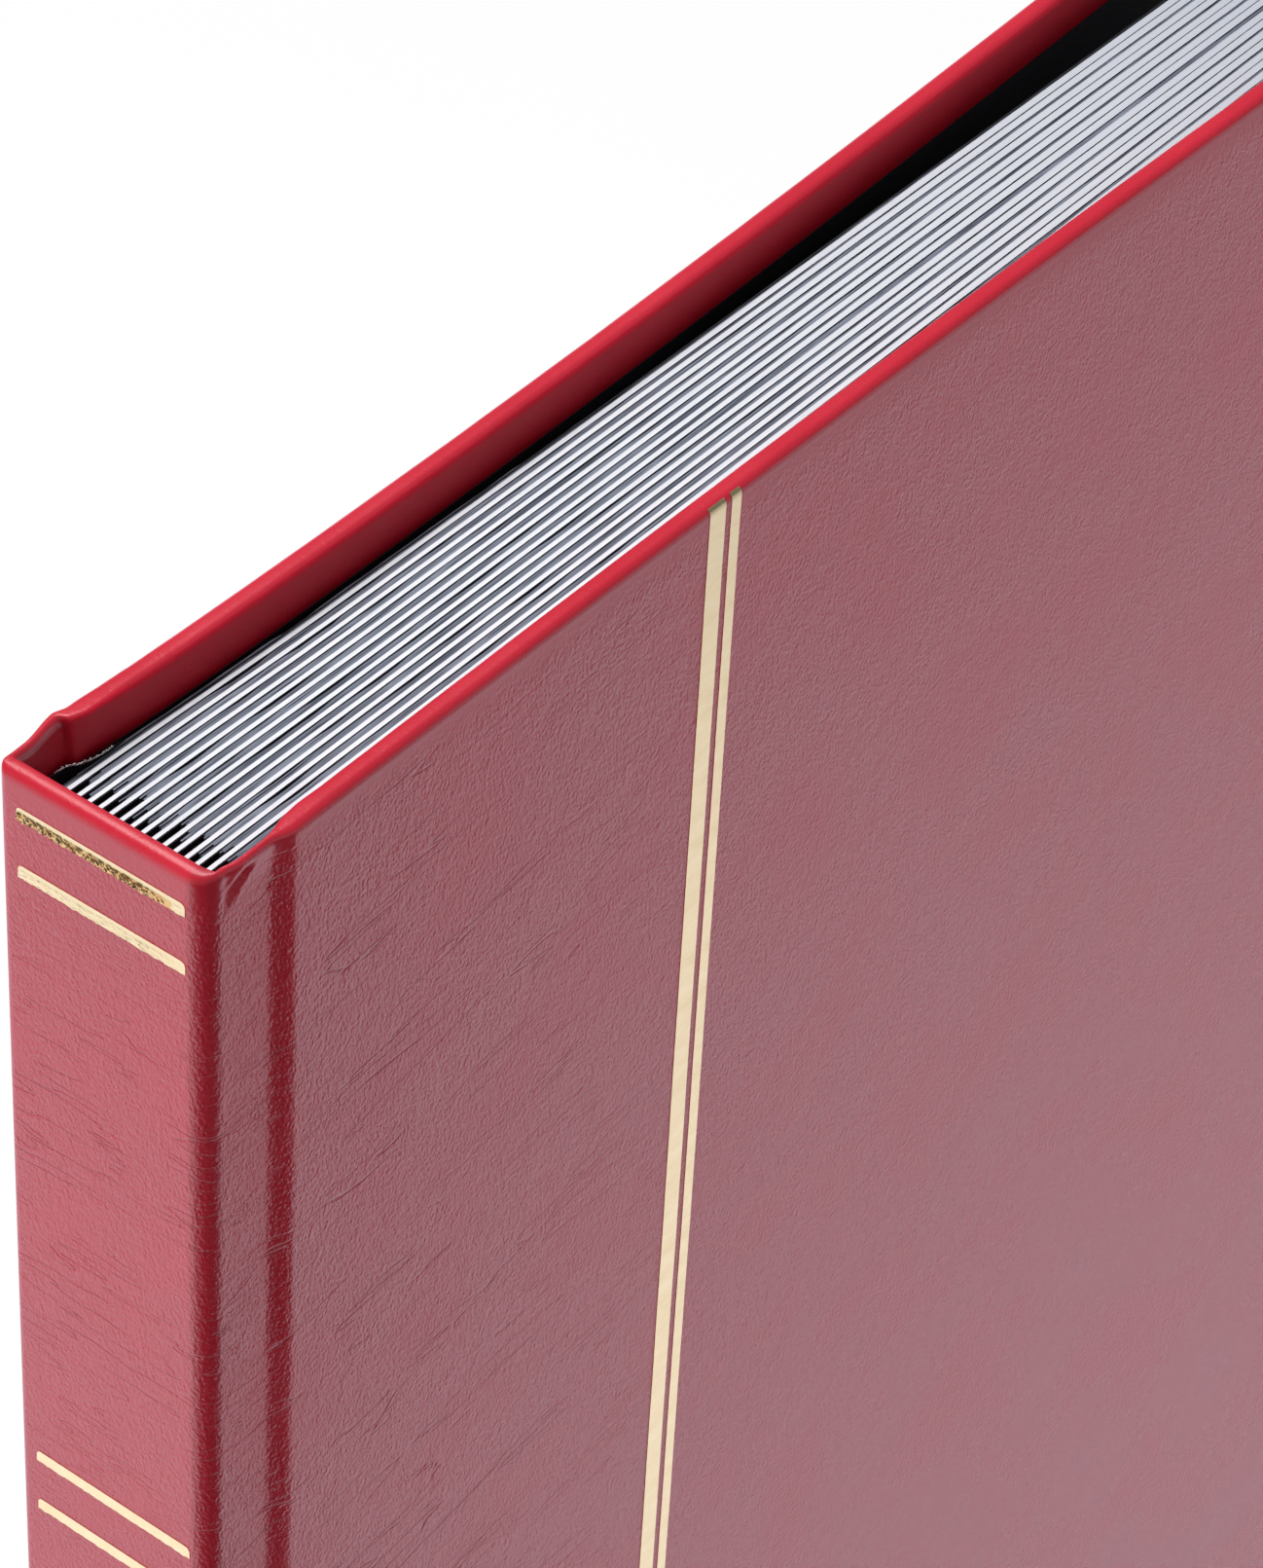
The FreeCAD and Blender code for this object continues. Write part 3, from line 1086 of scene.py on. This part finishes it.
def card_y(number, x, z):
    """Middle of a card: they close up in pairs towards the fore edge and wave a little."""
    pair = pair_close * (-1 if number % 2 else 1)
    half = middle_gap * (1 if number >= leaf_count / 2 else -1)
    return leaf_y(number, x) + (pair + half) * smoothstep(*pair_run, x) + ripple(page_waves, x, z, number)


def half_card(x):
    """Half thickness of a card, which grows away from its hinge."""
    return (hinge_thick + page_swell * smoothstep(*page_swell_run, x)) / 2


def leaf_card(number):
    """Card of one leaf: white where it is cut, with painted black shade on its faces for the narrow gaps
    between the cards.
    """
    builder = Builder()
    columns = even(card_start, card_end, card_step)
    rows = graded(leaf_low_z, leaf_high_z, *card_row_steps)

    def face(x, z, way):
        return (x, card_y(number, x, z) + way * half_card(x), z)

    builder.slab(columns, rows, face, FRONT, BACK)
    page = builder.make(f"leaf_{number + 1:02d}_page", page_card)
    # Painted shade: the card's faces get near-black paper for the narrow gaps between the cards.
    second_look(page, shaded_page_face, [abs(polygon.normal.y) > face_slope for polygon in page.data.polygons])
    return page


def leaf_linen(number):
    """Black linen hinge: a doubled stem and two flaps on the card."""
    builder = Builder()
    rows = even(leaf_low_z, leaf_high_z - linen_short, linen_row_step)
    stem = even(linen_low.x, card_start, linen_step)
    flap = even(card_start, linen_end, linen_step)

    def stem_face(x, z, way):
        """Point on one face of the stem, which opens where it meets the card."""
        opening = smoothstep(card_start - stem_opening, card_start, x)
        half = stem_gap + (hinge_thick / 2 - stem_gap) * opening + stem_cloth
        return (x, leaf_y(number, x) + way * half, z)

    def flap_face(x, z, level):
        """Point of a flap on one side of the card. Its end is uneven."""
        way, lift = level
        ragged = ripple(flap_cut, number, way, 1.0) + ripple(flap_fray, z, number, way)
        y = card_y(number, x, z) + way * (half_card(x) + lift)
        return (x + ragged * smoothstep(card_start, linen_end, x), y, z)

    builder.slab(stem, rows, stem_face, FRONT, BACK)
    for way in (FRONT, BACK):
        builder.slab(flap, rows, flap_face, (way, -flap_sunk), (way, flap_thick))
    return builder.make(f"leaf_{number + 1:02d}_hinge_linen", linen)


def interleaf_sheet(builder, number, sheet_start, sheet_end):
    """Adds one sheet of the interleaf behind a card, between two shares of the gap."""
    start = linen_end - sheet_overlap + ripple(start_waves, number, sheet_start, 1.0)
    columns = graded(start, card_end - sheet_inset, *sheet_steps)
    rows = [sheet_low + (sheet_high - sheet_low) * share for share in sheet_rows]

    def room(x, z):
        """Front and back limit of the gap behind the card, clear of the pockets."""
        front = card_y(number, x, z) + half_card(x) + pocket_depth
        if number + 1 == leaf_count:
            return front, leaf_y(number + 1, x) - half_card(x)
        return front, card_y(number + 1, x, z) - half_card(x) - pocket_depth

    def face(x, z, way):
        """Point on one face of the sheet, which thickens and waves towards its top."""
        front, back = room(x, z)
        rate_x, rate_number, rate_z = bulge_rates
        bulge = wobble(x * rate_x, number * rate_number + sheet_start, z * rate_z)
        bulge = bulge_share * max(0.0, bulge - bulge_from) * (sheet_end > loose_from)
        loose = smoothstep(*loose_run, z) * (1.0 - pressed_share * smoothstep(*pressed_run, x))
        shift = loose * (ripple(sway_waves, x, number, sheet_start) - bulge)
        thick = (sheet_end - sheet_start) * (1.0 + shift) * smoothstep(*thick_run, z)
        middle = (sheet_start + sheet_end) / 2 + shift * shift_share
        share = middle + way * (sheet_thin + thick) / 2
        least, most = sheet_limits
        uneven = ripple(top_waves, x, number, sheet_start) * smoothstep(sheet_low, sheet_high, z)
        return (x, front + (back - front) * min(max(share, least), most), z + uneven)

    builder.slab(columns, rows, face, FRONT, BACK)


def pocket_strip(builder, number, way, foot):
    """Adds one pocket strip to a face of a card, with its foot at a height."""
    columns = even(linen_end + strip_margin, card_end - strip_margin, strip_x_step)
    rows = [foot + z for z in pocket_rows]

    def face(x, z, film):
        """Point of the film, which stands off the card towards its top."""
        lift = pocket_shut + pocket_open * smoothstep(*pocket_opening, z - foot)
        return (x, card_y(number, x, z) + way * (half_card(x) + lift + film), z)

    builder.slab(columns, rows, face, 0.0, pocket_film)


def leaf_glassine(number):
    """Folded interleaf behind the card, and pocket strips on both of its faces."""
    builder = Builder()
    for sheet_start, sheet_end in interleaf_sheets:
        interleaf_sheet(builder, number, sheet_start, sheet_end)
    first_strip = len(builder.faces)
    for way in (FRONT, BACK):
        for row in range(strips_per_page):
            pocket_strip(builder, number, way, leaf_low_z + pocket_margin + row * pocket_pitch)
    piece = builder.make(f"leaf_{number + 1:02d}_pockets", interleaf_glassine)
    second_look(piece, pocket_glassine, (index >= first_strip for index in range(len(builder.faces))))
    return piece


for number in range(leaf_count):
    body = f"leaf_{number + 1:02d}"
    for build, part, slot in (
        (leaf_card, "card", "page_card"),
        (leaf_linen, "linen", "linen"),
        (leaf_glassine, "glassine", "glassine"),
    ):
        piece = build(number)
        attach(piece, body)
        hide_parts(f"{body}_{part}")


def flyleaf(side):
    """Black free endpaper beside the leaf block."""
    builder = Builder()
    low, high = node_box(f"{side_name[side]}_flyleaf")
    columns = even(low.x, high.x, flyleaf_x_step)
    rows = even(low.z, high.z, flyleaf_z_step)

    def face(x, z, way):
        """Point on one face of the sheet, between the end leaf and the cover."""
        if side == FRONT:
            base = (low.y + high.y) / 2
        else:
            last = leaf_count - 1
            base = hinges["back_flyleaf_hinge"].y + leaf_y(last, x) - leaf_y(last, leaf_hinge_x)
            base += middle_gap * smoothstep(*pair_run, x)
        return (x, base + ripple(flyleaf_waves, x, z, side) + way * paper_thick / 2, z)

    builder.slab(columns, rows, face, FRONT, BACK)
    return builder.make(f"{side_name[side]}_free_endpaper", endpaper)


for side, body in ((FRONT, "front_flyleaf"), (BACK, "back_flyleaf")):
    sheet = flyleaf(side)
    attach(sheet, body)
    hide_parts(body)

lining = frame["nodes"]["spine_lining"]
lining.data.materials.clear()
lining.data.materials.append(linen)


# Linen that bridges the inside of each joint


def curve_place(points, share):
    """Point of a smooth curve through the points, at a share of the way."""
    span = share * (len(points) - 1)
    index = min(int(span), len(points) - 2)
    t = span - index
    a, b, c, d = (Vector(points[min(max(index + k, 0), len(points) - 1)]) for k in (-1, 0, 1, 2))
    bend = (2 * a - 5 * b + 4 * c - d) * t * t
    return 0.5 * (2 * b + (c - a) * t + bend + (3 * b - a - 3 * c + d) * t ** 3)


def curve_heading(points, share):
    """Direction of the curve at a share of the way along it."""
    after = curve_place(points, min(share + heading_step, 1.0))
    return (after - curve_place(points, max(share - heading_step, 0.0))).normalized()


def joint_linen(side):
    """Black linen from the spine over the joint on to the endpaper."""
    builder = Builder()
    path = linen_paths[side]
    columns = even(0.0, 1.0, 1 / tape_columns)
    rows = even(*tape_span, tape_row_step)

    def face(share, z, inward):
        ahead = curve_heading(path, share)
        spot = curve_place(path, share) - Vector((-ahead.y, ahead.x)) * inward
        frayed = ripple(fray_waves, share, side, 1.0) * smoothstep(*fray_run, z)
        sunk = sink_depth * smoothstep(*sink_shares, share) * smoothstep(*sink_run, z)
        return (spine_face + spot.x, side * spot.y, z + frayed - sunk)

    builder.slab(columns, rows, face, 0.0, tape_thick)
    return builder.make(f"{side_name[side]}_joint_linen", linen)


def joint_threads(side):
    """Pale ends of thread along the cut upper edge of the joint's linen."""
    rng = random.Random(thread_seed + side)
    path = linen_paths[side]
    points = []
    faces = []
    for index in range(thread_count):
        share = thread_shares[0] + thread_shares[1] * (index + rng.random()) / thread_count
        spot = curve_place(path, share)
        ahead = curve_heading(path, share)
        foot = Vector((spine_face + spot.x, side * (spot.y - tape_thick / 2), thread_foot_z))
        lean = Vector((ahead.x, side * ahead.y, 0.0)) * rng.uniform(*thread_lean)
        tip = foot + lean + Vector((0.0, side * rng.uniform(*thread_spread), rng.uniform(*thread_rise)))
        middle = foot.lerp(tip, 0.5) + Vector((0.0, 0.0, thread_arch))
        faces += tube_faces(4, 3, first=len(points))
        for centre, taper in ((foot, 1.0), (middle, 1.0), (tip, thread_tip)):
            for corner in range(4):
                turn = math.pi / 2 * corner
                points.append(centre + Vector((math.cos(turn), math.sin(turn), 0.0)) * thread_radius * taper)
    return make_object(f"{side_name[side]}_joint_threads", points, faces, thread)


for side, body in ((FRONT, "front_cover"), (BACK, "back_cover")):
    tape = joint_linen(side)
    folds = [((spine_face + x) * MM, side * (spine_half + y) * MM, 0.0) for x, y in linen_fold]
    fold_start, fold_end = folds
    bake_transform(tape)
    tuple(fold_start)
    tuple(fold_end)
    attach(joint_threads(side), body)


# Stage: pale floor, soft light and the camera


def floor_material():
    """Pale paper: white to the camera and in reflections, duller for the light it throws back."""
    shader = Shader("floor_paper", "Object")
    path = shader.node("ShaderNodeLightPath")
    camera = path.outputs["Is Camera Ray"]
    glossy = path.outputs["Is Glossy Ray"]
    shader.finish(shader.blend(camera, floor_tone, white), floor_roughness)
    spot = shader.split()
    corner = shader.product(shader.remap(spot["Y"], *mirror_far), shader.remap(spot["X"], *mirror_aside))
    dim = shader.math("SUBTRACT", 1.0, corner)
    dim = shader.math("SUBTRACT", dim, shader.remap(spot["X"], *mirror_left))
    light = shader.blend(glossy, white, shader.blend(dim, black, reflected_white))
    glowing = shader.node("ShaderNodeEmission", {"Color": light, "Strength": 1.0})
    seen = shader.math("MAXIMUM", camera, path.outputs["Is Transmission Ray"])
    distance = shader.node("ShaderNodeVectorMath", {0: shader.place}, operation="LENGTH").outputs["Value"]
    glow = shader.remap(distance, *glow_reach, glow_near, 1.0)
    share = shader.math("MAXIMUM", shader.product(seen, glow), glossy)
    mix = shader.node("ShaderNodeMixShader", {0: share, 1: shader.surface.outputs[0], 2: glowing.outputs[0]})
    shader.feed(shader.tree.nodes["Material Output"].inputs["Surface"], mix.outputs[0])
    return shader.material


floor_corners = [(x * floor_size, y * floor_size, 0) for x, y in ((-1, -1), (1, -1), (1, 1), (-1, 1))]
floor = make_object("floor", floor_corners, [(0, 1, 2, 3)], floor_material())

# A dark flag beside the camera, seen only in reflections
flag_material = Shader("flag").finish(flag_color, flag_roughness)
flag_points = []
for radius in flag_radii:
    for degrees in even(*flag_angles, (flag_angles[1] - flag_angles[0]) / flag_steps):
        angle = math.radians(degrees)
        x = spine_face + radius * math.cos(angle)
        y = -spine_half + radius * math.sin(angle)
        flag_points.append((x, y, flag_height))
flag_row = flag_steps + 1
flag_faces = [(i, i + flag_row, i + flag_row + 1, i + 1) for i in range(flag_steps)]
flag = make_object("flag", flag_points, flag_faces, flag_material)
flag.visible_camera = False
flag.visible_diffuse = False
flag.visible_shadow = False
flag.visible_transmission = False

scene = bpy.context.scene
world = bpy.data.worlds.new("studio")
scene.world = world
world.use_nodes = True
tree = world.node_tree
path = tree.nodes.new("ShaderNodeLightPath")
level = tree.nodes.new("ShaderNodeMapRange")
level.inputs["To Min"].default_value = world_strength
level.inputs["To Max"].default_value = 1.0
tree.links.new(path.outputs["Is Camera Ray"], level.inputs["Value"])
background = tree.nodes["Background"]
background.inputs["Color"].default_value = (*white, 1.0)
tree.links.new(level.outputs[0], background.inputs["Strength"])


def lamp(name, place, target, size, energy, lights=True, mirrored=False):
    """Soft square lamp, which lights surfaces, shows in reflections or both."""
    data = bpy.data.lights.new(name, "AREA")
    data.shape = "SQUARE"
    data.size = size * MM
    data.energy = energy
    made = bpy.data.objects.new(name, data)
    made.location = Vector(place) * MM
    made.rotation_euler = (Vector(target) - Vector(place)).to_track_quat("-Z", "Y").to_euler()
    made.visible_camera = False
    made.visible_diffuse = lights
    made.visible_glossy = mirrored
    scene.collection.objects.link(made)


lamp("top_light", top_place, top_target, size=750, energy=17.0)
lamp("top_sheen", top_place, top_target, size=450, energy=8.5, lights=False, mirrored=True)
lamp("spine_light", place=(-1150, 350, 420), target=(-115, 0, 180), size=700, energy=7.4)
lamp("floor_card", place=(-400, 190, 6), target=(-400, 190, 500), size=560, energy=0.15, mirrored=True)
lamp("front_light", place=(300, -1200, 130), target=(0, 0, 150), size=700, energy=4.8)

camera_data = bpy.data.cameras.new("camera")
camera_data.sensor_fit = "VERTICAL"
camera_data.sensor_height = 36.0
camera_data.lens = 136.65
camera_data.clip_start = 0.01
camera = bpy.data.objects.new("camera", camera_data)
scene.collection.objects.link(camera)
camera_place = Vector((-407.57, -270.18, 661.36)) * MM
camera_forward = Vector((0.6081, 0.4408, -0.6603)).normalized()
camera_up = Vector((0.4992, 0.4345, 0.7497))
camera_right = camera_forward.cross(camera_up).normalized()
camera_up = camera_right.cross(camera_forward)
turn = Matrix((camera_right, camera_up, -camera_forward)).transposed()
camera.matrix_world = Matrix.Translation(camera_place) @ turn.to_4x4()
scene.camera = camera
scene.view_settings.view_transform = "Standard"
